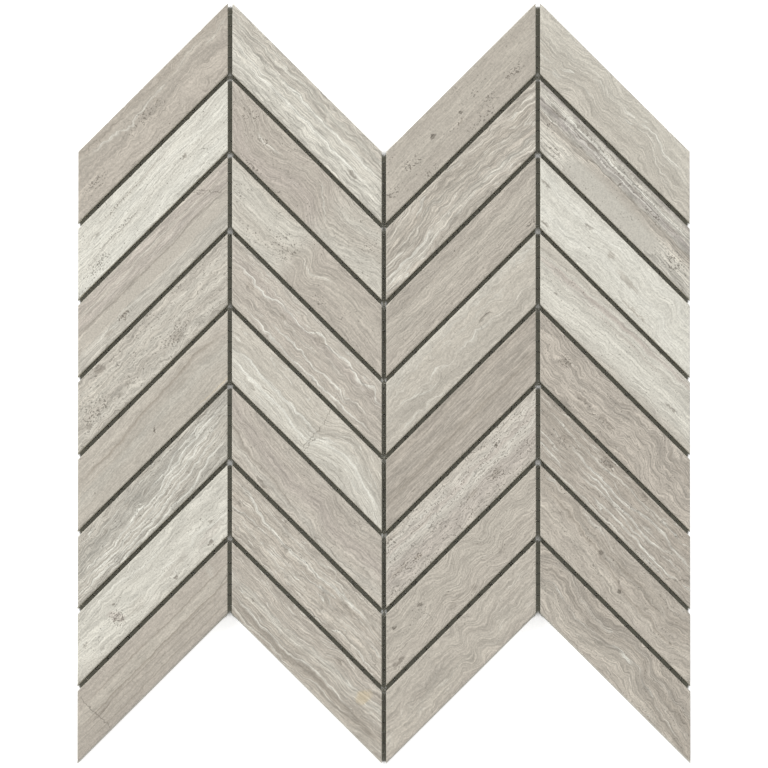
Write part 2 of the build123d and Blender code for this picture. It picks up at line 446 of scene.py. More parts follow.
LOOKS[2, 5] = ChipLook(
    bands=[(-12, "pale"), (-8, "pale"), (-5, "cream"), (-2, "pale"), (2, "beige"), (6, "beige"),
           (12, "beige")],
    depth=0.7,
    course=[(-60, 0), (-20, 0), (5, -2), (14, 2), (25, 4.5), (38, 2), (60, -5)],
    wave=0.4, ripple=0.7, scallop=0.8, leaf=1.9, tone=0.25, veins=0.45, lines=0.35, fibre=0.35, specks=0.05,
    threads=[([(-47, 0), (-37, 1.3), (-30, 0.4), (-15, 0.2), (10, -0.8)], 1.4, "white", 0.85),
             ([(-47, -3.2), (-25, -4.5), (-12, -4), (5, -6.5), (12, -5)], 1.4, "white", 0.85),
             ([(6, -4), (18, 0), (26, 1), (36, -1), (54, -6)], 1.3, "white", 0.8),
             ([(8, -6), (18, -3), (28, -2), (38, -4), (50, -8)], 1, "cream", 0.6)],
    cracks=[((4, 12), (7, 4)), ((7, 4), (7.5, -11.5)), ((8.5, -3), (9, -11))],
)
LOOKS[2, 6] = ChipLook(
    bands=[(-12, "beige"), (-9, "pale"), (-6, "beige"), (0, "rose"), (6, "taupe"), (12, "beige")],
    depth=0.6,
    course=[(-60, 9), (-50, 5), (-35, 2), (-15, -0.5), (-5, 0), (6, 1.5), (18, -1), (40, 0), (60, 1)],
    ripple=1.1, scallop=0.8, leaf=1.6, tone=0.2, veins=0.12, lines=0.45, specks=0.35,
    threads=[([(-60, 3.5), (-45, -1), (-35, -3.8), (-22, -5.2), (-10, -6.5), (8, -8.5)], 1.6, "fleck",
               0.5)],
)
LOOKS[2, 7] = ChipLook(
    bands=[(-12, "taupe"), (-6, "beige"), (-1, "taupe"), (2, "drab"), (6, "beige"), (9, "taupe"),
           (12, "beige")],
    wave=0.5, ripple=0.7, scallop=0.8, leaf=1.7, tone=0.35, veins=0.5, lines=0.5, fibre=0.5, specks=0.4,
    clouds=[(-10, 3, 30, 3, 0.4)],
    threads=[([(-57, 6.5), (-50, 8), (-42, 6), (-30, 4.5), (-10, 3.5), (5, 4.5), (20, 5.5), (40, 4.5)], 1.6,
               "white", 0.7),
             ([(-45, 10), (-20, 8.5), (0, 9), (8, 11), (12, 8), (25, 9)], 1, "cream", 0.5)],
    patches=[(-16, 1.8, 2.6, 1.4, 0, "fleck", 0.6), (-46, 1.4, 1.6, 1, 0, "fleck", 0.5),
             (25, 2, 6, 1, 0, "brown", 0.6)],
)
LOOKS[2, 8] = ChipLook(
    bands=[(-12, "beige"), (-9, "drab"), (-6.5, "drab"), (-4, "taupe"), (-1, "beige"), (2, "pale"),
           (5, "taupe"), (12, "taupe")],
    depth=0.7,
    course=[(-60, -1.5), (-30, -1.8), (-10, -2.5), (5, -0.5), (12, 1.5), (30, 1), (60, 4)],
    ripple=0.7, scallop=0.7, leaf=1.6, veins=0.4, lines=0.5, fibre=0.45, specks=0.25,
    threads=[([(-44, -5), (-15, -6.6), (-5, -7), (5, -4), (12, -3), (34, -4)], 1, "white", 0.6),
             ([(-48, -6), (-20, -7.5), (-6, -8), (4, -5.5), (14, -4.5), (40, -5), (60, -8)], 2.6, "fleck",
               0.45),
             ([(-46, -9), (-20, -9.8), (0, -11)], 1.2, "cream", 0.5),
             ([(-50, -2), (-20, -3), (0, -3.4)], 0.8, "brown", 0.5)],
    patches=[(34, 3.8, 3.6, 4.6, -10, "ochre", 0.85)],
)
print(len(LOOKS), "looks")

# %% Looks of the chips in the third column
LOOKS[3, 1] = ChipLook(
    bands=[(-12, "beige"), (-8, "taupe"), (-5, "taupe"), (-2, "beige"), (4, "beige"), (8, "taupe"),
           (12, "beige")],
    wave=0.6, ripple=0.5, scallop=0.4, tone=0.15, veins=0.05, lines=0.15, fibre=0.2, specks=0.4,
    clouds=[(-50, -4, 6, 3.5, 0.85), (-34, -1, 7, 4, 0.85), (-28, -10, 8, 2, 0.8), (-4, -3, 6, 2, 0.8),
            (6, -9, 12, 2.5, 0.8), (14, -5, 7, 3, 0.75), (32, -4, 8, 3.5, 0.85), (12, 2, 5, 1.5, 0.7)],
    patches=[(-17, 1.4, 2.1, 0.9, 0, "pit", 0.95), (0, 0, 1.4, 0.8, -20, "pit", 0.85),
             (-3, -3, 2.8, 0.7, 12, "brown", 0.8)],
)
LOOKS[3, 2] = ChipLook(
    bands=[(-12, "beige"), (-8, "taupe"), (-5, "pale"), (-2, "taupe"), (2, "beige"), (6, "drab"),
           (9, "beige"), (12, "taupe")],
    course=[(-60, -2.5), (-35, -2), (-20, 1), (-5, 2), (10, 1), (30, -1), (60, -4)],
    scallop=0.9, tone=0.28, veins=0.4, lines=0.45, fibre=0.6, specks=0.25,
    threads=[([(-57, -5), (-40, -5.3), (-30, -4), (-22, -2.5)], 1.6, "white", 0.6),
             ([(-55, -8), (-38, -9), (-25, -6.5), (0, -6), (20, -4.5), (40, -9)], 1.2, "cream", 0.5),
             ([(-30, 6), (-10, 5.2), (10, 4.5), (30, 1)], 1, "drab", 0.4)],
)
LOOKS[3, 3] = ChipLook(
    bands=[(-12, "taupe"), (-8, "taupe"), (0, "beige"), (5, "beige"), (7, "taupe"), (12, "taupe")],
    wave=0.8, ripple=0.8, scallop=0.6, leaf=1.6, tone=0.2, veins=0.12, lines=0.35, specks=0.4,
    clouds=[(10, -1, 4, 2, 0.7), (38, -9, 5, 2, 0.9), (-30, -8, 30, 3, 0.4), (6, 6.5, 10, 1.5, 0.6)],
    threads=[([(-38, 5.5), (-30, 6.3), (-18, 5.6), (-10, 4.6), (0, 7), (10, 6.5)], 1, "drab", 0.45)],
)
LOOKS[3, 4] = ChipLook(
    bands=[(-12, "beige"), (-6, "beige"), (-2, "beige"), (3, "beige"), (6, "beige"), (9, "pale"),
           (12, "cream")],
    ripple=1.3, scallop=1.3, leaf=2.2, tone=0.2, veins=0.35, lines=0.25, fibre=0.25, specks=0.12,
    threads=[([(12.5, 0.4), (16, 1.6), (21, 0.2)], 0.8, "pit", 0.75),
             ([(-42, 0.5), (-33, -1), (-28, -3), (-20, -3.4)], 1.1, "cream", 0.7),
             ([(-10, 4), (6, 4.6), (20, 4), (36, 5)], 1.2, "pale", 0.5),
             ([(-50, -9), (-36, -8.4), (-20, -9.2)], 1, "cream", 0.5),
             ([(-6, -2), (8, -1.4), (20, -2.4)], 1, "cream", 0.45)],
)
LOOKS[3, 5] = ChipLook(
    bands=[(-12, "taupe"), (-6, "taupe"), (-2, "drab"), (1, "taupe"), (6, "taupe"), (12, "drab")],
    wave=0.4, ripple=0.35, scallop=0.3, leaf=1.2, tone=0.2, veins=0.08, specks=0.08,
    threads=[([(-55, -3.5), (-35, -2.2), (0, -1.8), (20, -1.6), (45, -2.5)], 0.9, "brown", 0.6)],
)
LOOKS[3, 6] = ChipLook(
    bands=[(-12, "beige"), (-6, "rose"), (-3, "rose"), (1, "pale"), (3, "cream"), (5, "rose"), (8, "pale"),
           (12, "beige")],
    wave=1.5, ripple=1.2, scallop=1.1, leaf=2.4, tone=0.15, lines=0.25, fibre=0.5, specks=0.9,
    clouds=[(-35, -5.5, 5, 1.6, 1), (20, -4.5, 7, 4, 0.9), (30, 6.5, 4, 3, 1), (-40, 8, 8, 4, 0.8),
            (40, -5, 8, 5, 0.7), (0, -2, 10, 2, 0.7), (-32, -9, 4, 3, 0.8), (48, 7, 6, 3, 0.8)],
    threads=[([(-30, 5), (-24, 4.8), (-18, 5.6), (-14, 5.4)], 0.8, "brown", 0.7)],
    patches=[(-34, -5.6, 3, 1, 0, "brown", 0.7), (-45, -3.6, 7, 1.2, 0, "brown", 0.5),
             (20, -3.4, 5, 1.4, 10, "brown", 0.5), (5, -2.6, 4, 1.2, 0, "brown", 0.5),
             (-38, 9.8, 6, 1.2, 0, "brown", 0.5), (29.5, 6.4, 1.2, 1, 0, "fleck", 0.8)],
    cracks=[((-10.5, -6.8), (-9.5, -11.2)), ((-0.5, -4.5), (-1, -10))],
)
LOOKS[3, 7] = ChipLook(
    bands=[(-12, "taupe"), (-8, "taupe"), (-4, "taupe"), (0, "beige"), (4, "beige"), (12, "beige")],
    course=[(-60, -1), (-30, -1), (-14, 1.5), (-5, -1.5), (8, 3), (20, -1), (26, 1), (60, -1)],
    ripple=1.2, scallop=1.2, leaf=1.7, tone=0.15, veins=0.1, lines=0.35, specks=0.45,
    clouds=[(-28, 0, 14, 3, 0.5), (25, 2, 8, 2, 0.5)],
    patches=[(-24, 4, 1.5, 1, 0, "pit", 0.9), (-40, 4.5, 1.3, 0.8, 0, "pit", 0.9),
             (-50, -8.4, 4, 0.8, 0, "fleck", 0.8), (0, -8.6, 2.4, 1.2, 20, "fleck", 0.5),
             (-13, -7.6, 3, 1.6, 10, "fleck", 0.35), (22, -5, 3, 2, 0, "fleck", 0.3)],
)
LOOKS[3, 8] = ChipLook(
    bands=[(-12, "taupe"), (-4, "beige"), (2, "taupe"), (8, "beige"), (12, "beige")],
    course=[(-60, 0), (-20, -0.5), (-4, 1), (2, -1.5), (8, 3), (16, -1.5), (26, 0), (60, 1)],
    ripple=1.2, scallop=1.2, leaf=2.2, tone=0.2, veins=0.15, lines=0.25, fibre=0.35, specks=0.2,
)
print(len(LOOKS), "looks")

# %% Looks of the chips in the fourth column
LOOKS[4, 1] = ChipLook(
    bands=[(-12, "beige"), (-6, "beige"), (0, "beige"), (5, "pale"), (12, "pale")],
    depth=0.4,
    course=[(-60, -1), (-30, -0.5), (-16, 2.5), (-8, 0), (10, 1), (20, 1.5), (32, -2), (60, -4)],
    ripple=1.1, scallop=1.3, leaf=1.8, tone=0.15, lines=0.3, fibre=0.35, specks=0.12,
    threads=[([(12, 6.5), (18, 6), (24, 6), (31, 3.2), (42, 2.5)], 1, "white", 0.75),
             ([(-19, 2), (-15, 5.5), (-10, 4)], 1.2, "cream", 0.6)],
)
LOOKS[4, 2] = ChipLook(
    bands=[(-12, "pale"), (-4, "pale"), (-1.5, "beige"), (0.8, "drab"), (2.2, "drab"), (2.6, "grey"),
           (5, "dusk"), (8, "grey"), (10, "pale"), (12, "dusk")],
    depth=0.7, wave=0.4, ripple=0.5, scallop=0.4, leaf=1.9, veins=0.45, lines=0.5, fibre=0.6,
    specks=0.4, calm=(5, -6.5, 33, 8.5),
    clouds=[(44, -5, 10, 7, 0.85), (-33, -8, 6, 3, 0.9), (-10, 7.5, 60, 5, 0.55), (20, 4, 14, 2, 0.8),
            (8, -7, 8, 3, 0.3), (-42, 0, 10, 4, 0.65)],
    threads=[([(-50, 8.6), (-20, 8), (20, 8.2), (45, 8.6)], 1, "white", 0.65),
             ([(-45, 5.8), (-10, 5.2), (30, 5.6)], 0.9, "white", 0.55),
             ([(-52, 3), (-30, 2.2), (-24, 2.6)], 0.8, "white", 0.5)],
    patches=[(0, 3.3, 1.2, 0.8, 0, "pit", 0.9), (-36, 11, 3, 0.6, 0, "dusk", 0.8),
             (29.5, -4.3, 0.8, 0.6, 0, "fleck", 0.8), (-45, 6.6, 5, 1.1, 0, "fleck", 0.5),
             (-31, 9.6, 6, 0.9, 0, "fleck", 0.5), (-38, 3.6, 4, 1, 0, "dusk", 0.55),
             (-21, 6.8, 5, 0.9, 0, "fleck", 0.45), (-9, 9.9, 5, 0.8, 0, "fleck", 0.45),
             (7, 6.7, 5, 0.8, 0, "fleck", 0.4), (23, 9.3, 4, 0.8, 0, "fleck", 0.4)],
)
LOOKS[4, 3] = ChipLook(
    bands=[(-12, "pale"), (-8, "cream"), (-4, "white"), (0, "cream"), (4, "cream"), (7, "white"),
           (12, "pale")],
    course=[(-60, 0), (-25, -1), (-10, 1.5), (5, 2), (20, 1.5), (32, 2.5), (38, -1), (60, -3)],
    ripple=0.9, scallop=0.8, leaf=2.2, tone=0.2, veins=0.2, lines=0.15, fibre=0.3, specks=0.15,
    threads=[([(-34, 6), (-22, 5.4), (-14, 7), (-2, 7.2), (14, 6.4), (28, 7.4), (36, 4.5)], 1.5, "white",
               0.6),
             ([(22, -6), (34, -7.4), (48, -8)], 1.2, "white", 0.5)],
    patches=[(10, -1, 9, 1.4, -3, "brown", 0.5), (-50.5, 4.7, 3.4, 0.9, 2, "fleck", 0.65),
             (-22, 4.6, 3.4, 0.9, 12, "fleck", 0.6), (-37.5, -9, 3, 0.9, 0, "fleck", 0.65),
             (21, -8.7, 9, 0.7, 0, "brown", 0.6), (-5, 2.5, 2.4, 1.6, 0, "brown", 0.5),
             (-14.6, -2, 0.9, 0.7, 0, "fleck", 0.7)],
)
LOOKS[4, 4] = ChipLook(
    bands=[(-12, "beige"), (-9, "pale"), (-4, "cream"), (0, "cream"), (4, "pale"), (6, "cream"),
           (8, "rose"), (10, "pale"), (12, "beige")],
    depth=0.8, course=[(-60, -5), (-30, -2.5), (-5, 0), (60, 2)], wave=0.7, ripple=0.8, scallop=0.7,
    leaf=1.9, tone=0.15, veins=0.2, lines=0.2, fibre=0.35, specks=0.45,
    clouds=[(0, 4, 50, 4, 0.4), (-40, 7, 20, 3, 0.5)],
    threads=[([(-52, 5), (-30, 6.4), (-6, 8), (16, 10)], 2, "rose", 0.6),
             ([(-52, 2), (-30, 3.4), (0, 4.6), (30, 5)], 1, "rose", 0.45)],
    patches=[(40, -3, 4, 0.6, 3, "fleck", 0.65), (-36, -3, 1, 0.9, 0, "fleck", 0.6)],
)
LOOKS[4, 5] = ChipLook(
    bands=[(-12, "drab"), (-6, "taupe"), (0, "taupe"), (6, "taupe"), (12, "taupe")],
    depth=0.4,
    course=[(-60, 2), (-35, 0), (-15, -1), (0, 1), (18, 3), (30, -3), (60, -6)],
    ripple=1.4, scallop=1.3, leaf=2.1, veins=0.2, lines=0.35, fibre=0.5, specks=0.6,
    clouds=[(-37, 3, 5, 4, 0.9), (-8, -4, 12, 2.5, 0.7)],
    threads=[([(26, 12), (31, 7), (38, 4), (50, 2)], 1.2, "brown", 0.5)],
    patches=[(-36, 2.5, 3.6, 2.6, 20, "fleck", 0.4), (-19, -3.8, 4.8, 1.4, 3, "fleck", 0.65),
             (-2, -3.5, 6.5, 1.6, -3, "fleck", 0.5), (-14, -6.5, 5, 1.4, 0, "fleck", 0.3)],
)
LOOKS[4, 6] = ChipLook(
    bands=[(-12, "taupe"), (0, "taupe"), (6, "drab"), (12, "drab")],
    depth=0.4, wave=0.5, ripple=0.8, scallop=0.6, leaf=2.8, tone=0.2, veins=0.5, fibre=0.45, specks=0.5,
    clouds=[(-14, 9, 8, 3, 0.9), (-36, 2, 6, 4, 0.7), (10, 9, 6, 2, 0.7), (35, 8, 4, 3, 0.7)],
    threads=[([(-54, 8), (-37, 7), (-25, 6.7), (-12, 7), (-2, 7.8), (16, 7.6), (30, 9.4)], 1, "cream", 0.6),
             ([(-34, 3.4), (-13, 2), (6, 2), (16, 4), (27, 4.4), (37, 2.4), (50, 1)], 1.2, "white", 0.65),
             ([(-20, -1.3), (-8, -0.2), (3, -2), (11, -1.3), (24, -2.6), (36, 0)], 1.2, "white", 0.8),
             ([(-20, -4), (-5, -2.9), (6, -3.3), (16, -4.6), (28, -4.6)], 1, "white", 0.6),
             ([(-10, -8), (3, -6.6), (14, -6.6), (24, -6.9), (32, -8), (50, -6.6)], 1.2, "white", 0.7),
             ([(-47, -6.6), (-34, -6.4), (-27, -8)], 1, "white", 0.6),
             ([(-48, -2.3), (-34, -2.6)], 0.8, "white", 0.5),
             ([(-40, -11.3), (-10, -10.8), (16, -10.8), (35, -11)], 1.2, "cream", 0.6)],
    patches=[(-14, 9.5, 4.4, 1.7, 0, "fleck", 0.45), (9.5, 10, 1.9, 1.2, 0, "fleck", 0.6),
             (-36, 3, 2.4, 2, 0, "fleck", 0.35)],
    cracks=[((44, -10.5), (52.5, -3.5))],
)
LOOKS[4, 7] = ChipLook(
    bands=[(-12, "beige"), (-8, "taupe"), (-4, "beige"), (0, "taupe"), (5, "drab"), (12, "taupe")],
    course=[(-60, 3), (-40, 2.5), (-20, 1), (0, -1.5), (20, -2), (35, -2.5), (45, 0), (60, 4)],
    ripple=1.2, scallop=1.2, leaf=1.7, veins=0.2, lines=0.35, specks=0.5,
    threads=[([(-55, 6.4), (-36, 5), (-25, 4.4), (-12, 2.5), (5.5, -1.5), (24, -2.9), (37.5, -4.2),
               (50, -1.6)], 1.6, "brown", 0.7),
             ([(-10, 4.5), (4, 5), (16, 4), (30, 2)], 1.2, "brown", 0.6)],
    patches=[(-12, 2.6, 1.6, 0.9, 20, "pit", 0.7), (3.5, -1, 0.9, 0.5, -40, "pit", 0.9),
             (7, -4.3, 1.1, 0.6, 0, "pit", 0.9), (41.5, -5, 1, 0.6, 0, "fleck", 0.8)],
)
LOOKS[4, 8] = ChipLook(
    bands=[(-12, "taupe"), (-4, "beige"), (1, "taupe"), (4, "drab"), (7, "taupe"), (12, "drab")],
    right=[(-12, "taupe"), (-6, "beige"), (-2, "drab"), (3, "taupe"), (6, "brown"), (9, "taupe"),
           (12, "taupe")],
    change=28,
    course=[(-60, -3), (-42, 2), (-25, -2), (-10, -1), (2, 2.5), (10, 2.5), (20, -2), (35, -4), (60, -9)],
    ripple=1.2, scallop=1.2, leaf=1.8, tone=0.35, lines=0.35, fibre=0.5, specks=0.5,
    clouds=[(42, 0, 14, 6, 0.5), (-45, -2, 5, 4, 0.6)],
)
print(len(LOOKS), "looks for", len([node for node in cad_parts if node.startswith("chip")]), "chips")

# %% [markdown]
# The leaves come first. Every later pattern is drawn in the leaves' own measure, along them and across
# them, so that lines, streaks and veins bend together as they do in stone. Three noises push the place
# across the chip: slow folds, short crumples, and the size of a third one, without its sign, which
# makes rows of little domes that meet in cusps. The look's course adds the rises and dips that were
# noted.

# %% Fold the leaves
FOLD_SIZE = (45.0, 20.0, 1.0)  # mm along and across a half wave
CRUMPLE_SIZE = (9.0, 10.0, 1.0)
CUSP_SIZE = (8.0, 7.0, 1.0)
FOLD_HEIGHT, CRUMPLE_HEIGHT, CUSP_HEIGHT = 1.2, 0.8, 1.0  # mm, times the look's own share
LINE_REACH = 14.0  # mm, the most that a drawn line may rise or dip


def follow(tree, along, points):
    """The height in mm of a line through points (along, across), at a place along the chip from 0 to 1."""
    curve = add(tree, "FloatCurve", {"Value": along})
    knots = curve.mapping.curves[0].points
    places = [((u + CHIP_REACH) / (2 * CHIP_REACH), 0.5 + v / (2 * LINE_REACH)) for u, v in points]
    knots[0].location, knots[1].location = places[0], places[-1]
    for place in places[1:-1]:
        knots.new(*place)
    curve.mapping.update()
    return add(tree, "MapRange", {"Value": curve, "To Min": -LINE_REACH, "To Max": LINE_REACH})


def fold_leaves(tree, across, block, along, look):
    """The place across the chip with its crumples, and the place across the leaves, both in mm."""
    for size, detail, height in ((FOLD_SIZE, 1.0, FOLD_HEIGHT * look.wave),
                                 (CRUMPLE_SIZE, 2.0, CRUMPLE_HEIGHT * look.ripple),
                                 (CUSP_SIZE, 1.0, CUSP_HEIGHT * look.scallop)):
        fold_place = add(tree, "VectorMath", {0: block, 1: size}, operation="DIVIDE")
        fold = add(tree, "TexNoise", {"Vector": fold_place, "Scale": 1.0, "Detail": detail}, normalize=False,
                   noise_dimensions="2D")
        if size == CUSP_SIZE:
            fold = add(tree, "Math", {0: fold}, operation="ABSOLUTE")
        across = add(tree, "Math", {0: fold, 1: height, 2: across}, operation="MULTIPLY_ADD")
    if not look.course:
        return across, across
    leaves = add(tree, "Math", {0: across, 1: follow(tree, along, look.course)}, operation="SUBTRACT")
    return across, leaves


print("folds", FOLD_SIZE[0], "mm, crumples", CRUMPLE_SIZE[0], "mm, cusps", CUSP_SIZE[0], "mm")

# %% [markdown]
# The bands are one colour ramp across the leaves. Where a chip changes from one end to the other, a
# second ramp takes over along a soft front. The bands' own mean takes part of their contrast away
# again: the stone is far more even from afar than it looks close up.

# %% Bands
FRONT = 9.0  # mm, half the length over which one set of bands gives way to the other
BAND_CONTRAST = 0.75


def mean_tone(bands):
    """The mean colour of a set of bands, by their widths."""
    places = np.array([place for place, _ in bands])
    colours = np.array([linear(TONES[tone]) for _, tone in bands])
    middles = (colours[1:] + colours[:-1]) / 2
    return (middles * np.diff(places)[:, None]).sum(axis=0) / (places[-1] - places[0])


def lay_bands(tree, across, bands, depth):
    """A colour ramp over the chip's width, with its contrast."""
    ramp = add(tree, "ValToRGB", {"Fac": across})
    ramp.color_ramp.interpolation = "EASE"
    stops = ramp.color_ramp.elements
    stops.remove(stops[1])
    mean = mean_tone(bands)
    for number, (place, tone) in enumerate(bands):
        position = (place + CHIP_HALF) / (2 * CHIP_HALF)
        stop = stops[0] if number == 0 else stops.new(position)
        stop.position = position
        stop.color = tuple(mean + BAND_CONTRAST * depth * (np.array(linear(TONES[tone])) - mean))
    return ramp


def colour_bands(tree, u, leaves, ragged_edge, look):
    """The colour of the bands at a place along the chip and across the leaves."""
    ragged = add(tree, "Math", {0: leaves, 1: ragged_edge}, operation="ADD")
    across = add(tree, "MapRange", {"Value": ragged, "From Min": -CHIP_HALF, "From Max": CHIP_HALF})
    colour = lay_bands(tree, across, look.bands, look.depth)
    if not look.right:
        return colour
    front = add(tree, "MapRange", {"Value": u, "From Min": look.change - FRONT,
                                   "From Max": look.change + FRONT}, interpolation_type="SMOOTHSTEP")
    other = lay_bands(tree, across, look.right, look.depth)
    return add(tree, "Mix", {"Factor": front, "A": colour, "B": other}, data_type="RGBA")


print("mean of the first chip's bands:", [round(float(c), 2) for c in mean_tone(LOOKS[1, 1].bands)])

# %% [markdown]
# Now the leaves themselves. The place across them is cut into steps of a leaf's thickness, and a slow
# noise makes the steps uneven. The number of the step picks a leaf's own tone, and says whether it has
# a white upper edge or a dark lower one. The rest of the step tells how far up the leaf a place is, so
# that both edges are sharp on one side and fade into the leaf on the other, as a settling mud leaves
# them.

# %% Leaves with veins and lines
LEAF_SIZE = (40.0, 5.0, 1.0)  # mm, of the noise that makes leaves uneven
BREAK_SIZE = (12.0, 2.2, 1.0)  # mm, of the noise that breaks their edges off
LEAF_LAYERS = ((1.0, 1.0), (0.42, 0.9))  # share of the thickness and of the contrast: leaves, then fine ones
UNEVENNESS = 2.0  # leaves that the slow noise adds or takes away
SEED_STEP = 7.31  # leaves, from one chip's row of chances to the next one's
LEAF_TONE = 0.36  # difference from leaf to leaf on a look with a tone of 1


@dataclass
class LeafEdge:
    """An edge that some leaves have. A leaf runs from 0 at its foot to 1 at its top."""
    tone: str
    chance: str  # which of a leaf's three chances gives it this edge
    spread: float  # of the chance, from no edge to a full one
    clear: float  # place in the leaf where the edge has faded out
    full: float  # place in the leaf where it is full
    broken: float  # break noise at which it is gone
    whole: float  # break noise at which it is whole
    least: float  # cover on a look with a share of 0
    more: float  # cover that a share of 1 adds


WHITE_EDGE = LeafEdge("white", "Red", spread=0.3, clear=0.6, full=0.97, broken=0.42, whole=0.58,
                      least=0.55, more=0.45)
DARK_EDGE = LeafEdge("fleck", "Green", spread=0.4, clear=0.3, full=0.0, broken=0.57, whole=0.42,
                     least=0.45, more=0.5)


def draw_leaves(tree, colour, leaf_place, leaves, look, seed):
    """The bands' colour with its leaves. Also gives the noise that breaks them off."""
    uneven_place = add(tree, "VectorMath", {0: leaf_place, 1: LEAF_SIZE}, operation="DIVIDE")
    uneven = add(tree, "TexNoise", {"Vector": uneven_place, "Scale": 1.0, "Detail": 1.5}, normalize=False,
                 noise_dimensions="2D")
    break_place = add(tree, "VectorMath", {0: leaf_place, 1: BREAK_SIZE}, operation="DIVIDE")
    breaks = add(tree, "TexNoise", {"Vector": break_place, "Scale": 1.0, "Detail": 3.0, "Roughness": 0.6},
                 noise_dimensions="2D")
    for thickness, contrast in LEAF_LAYERS:
        steps = add(tree, "Math", {0: leaves, 1: thickness * look.leaf}, operation="DIVIDE")
        steps = add(tree, "Math", {0: uneven, 1: UNEVENNESS / thickness, 2: steps}, operation="MULTIPLY_ADD")
        number = add(tree, "Math", {0: steps}, operation="FLOOR")
        up = add(tree, "Math", {0: steps}, operation="FRACT")
        seeded = add(tree, "Math", {0: number, 1: seed * SEED_STEP}, operation="ADD")
        chance = add(tree, "TexWhiteNoise", {"W": seeded}, noise_dimensions="1D")
        chances = add(tree, "SeparateColor", {"Color": chance.outputs["Color"]})
        tone = LEAF_TONE * contrast * look.tone
        shade = add(tree, "MapRange", {"Value": chances.outputs["Blue"], "To Min": 1 - tone,
                                       "To Max": 1 + tone})
        colour = add(tree, "Mix", {"Factor": 1.0, "A": colour, "B": shade}, data_type="RGBA",
                     blend_type="MULTIPLY")
        for edge, share in ((WHITE_EDGE, look.veins), (DARK_EDGE, look.lines)):
            near = add(tree, "MapRange", {"Value": up, "From Min": edge.clear, "From Max": edge.full})
            chosen = add(tree, "MapRange", {"Value": chances.outputs[edge.chance], "From Min": 1 - share,
                                            "From Max": 1 + edge.spread - share})
            whole = add(tree, "MapRange", {"Value": breaks, "From Min": edge.broken, "From Max": edge.whole,
                                           "To Max": contrast * (edge.least + edge.more * share)})
            cover = add(tree, "Math", {0: near, 1: chosen}, operation="MULTIPLY")
            cover = add(tree, "Math", {0: cover, 1: whole}, operation="MULTIPLY")
            colour = add(tree, "Mix", {"Factor": cover, "A": colour, "B": linear(TONES[edge.tone])},
                         data_type="RGBA")
    return colour, breaks


print("leaves are", min(look.leaf for look in LOOKS.values()), "to",
      max(look.leaf for look in LOOKS.values()), "mm thick")

# %% [markdown]
# Threads are the few veins and seams that the eye follows from one end of a chip to the other. Each is
# a curve through points, crumpled like the leaves around it, sharp above and fading downwards. Patches
# are stains, clay lenses and pits, and cracks are hairlines that healed before the stone was sawn. A
# mapping node of the Texture type turns a place into a mark's own measure, where 1 is its rim.

# %% Threads, patches and cracks
CRACK_WIDTH = 0.2  # mm, half
THROUGH = 100.0  # mm, deeper than a chip is thick
THREAD_EDGE = 0.25  # share of a thread's width over which its sharp side begins
THREAD_ENDS = 0.75  # share of its half length after which it fades out
THREAD_WEAR = {"From Min": 0.3, "From Max": 0.55, "To Min": 0.5, "To Max": 1.25}  # streak noise to cover
PATCH_WEAR = {"From Min": 0.65, "From Max": 0.4}  # streak noise, where a patch is thin and where it is full
PATCH_LEAST = 0.65  # share of a patch's strength that is left where it is thin
RIM_OUTSIDE = 0.3  # width of an oval's soft rim outside it, as a share of its width inside
CRACK_ENDS = {"From Min": 0.9, "From Max": 1.0, "To Min": 1.0, "To Max": 0.0}  # share of the half length
CRACK_SIDES = {"From Min": 0.5, "From Max": 1.6, "To Min": 0.6, "To Max": 0.0}  # share of the half width


def draw_threads(tree, colour, u, along, across, fibre, look):
    """Veins and seams through given points."""
    worn = add(tree, "MapRange", {"Value": fibre, **THREAD_WEAR})
    for points, width, tone, strength in look.threads:
        below = add(tree, "Math", {0: follow(tree, along, points), 1: across}, operation="SUBTRACT")
        fade = add(tree, "MapRange", {"Value": below, "From Max": width, "To Min": strength, "To Max": 0.0})
        start = add(tree, "MapRange", {"Value": below, "From Min": -THREAD_EDGE * width, "From Max": 0.0})
        middle, reach = (points[0][0] + points[-1][0]) / 2, (points[-1][0] - points[0][0]) / 2
        off = add(tree, "Math", {0: u, 1: middle}, operation="SUBTRACT")
        far = add(tree, "Math", {0: off}, operation="ABSOLUTE")
        ends = add(tree, "MapRange", {"Value": far, "From Min": THREAD_ENDS * reach, "From Max": reach,
                                      "To Min": 1.0, "To Max": 0.0})
        cover = add(tree, "Math", {0: fade, 1: start}, operation="MULTIPLY")
        cover = add(tree, "Math", {0: cover, 1: ends}, operation="MULTIPLY")
        cover = add(tree, "Math", {0: cover, 1: worn}, operation="MULTIPLY")
        colour = add(tree, "Mix", {"Factor": cover, "A": colour, "B": linear(TONES[tone])}, data_type="RGBA")
    return colour


def oval(tree, place, along, across, half_length, half_width, turn=0.0, soft=0.45):
    """1 inside an oval on the chip, and 0 outside."""
    inside = add(tree, "Mapping", {"Vector": place, "Location": (along, across, 0),
                                   "Rotation": (0, 0, math.radians(turn)),
                                   "Scale": (half_length, half_width, THROUGH)}, vector_type="TEXTURE")
    rim = add(tree, "VectorMath", {0: inside}, operation="LENGTH")
    return add(tree, "MapRange", {"Value": rim.outputs["Value"], "From Min": 1 - soft,
                                  "From Max": 1 + RIM_OUTSIDE * soft, "To Min": 1.0, "To Max": 0.0},
               interpolation_type="SMOOTHSTEP")


def lay_patches(tree, colour, ragged, fibre, look):
    """Stains, clay lenses and pits, with the stone's streaks showing through."""
    for *shape, tone, strength in look.patches:
        worn = add(tree, "MapRange", {"Value": fibre, **PATCH_WEAR, "To Min": PATCH_LEAST * strength,
                                      "To Max": strength})
        cover = add(tree, "Math", {0: oval(tree, ragged, *shape), 1: worn}, operation="MULTIPLY")
        colour = add(tree, "Mix", {"Factor": cover, "A": colour, "B": linear(TONES[tone])}, data_type="RGBA")
    return colour


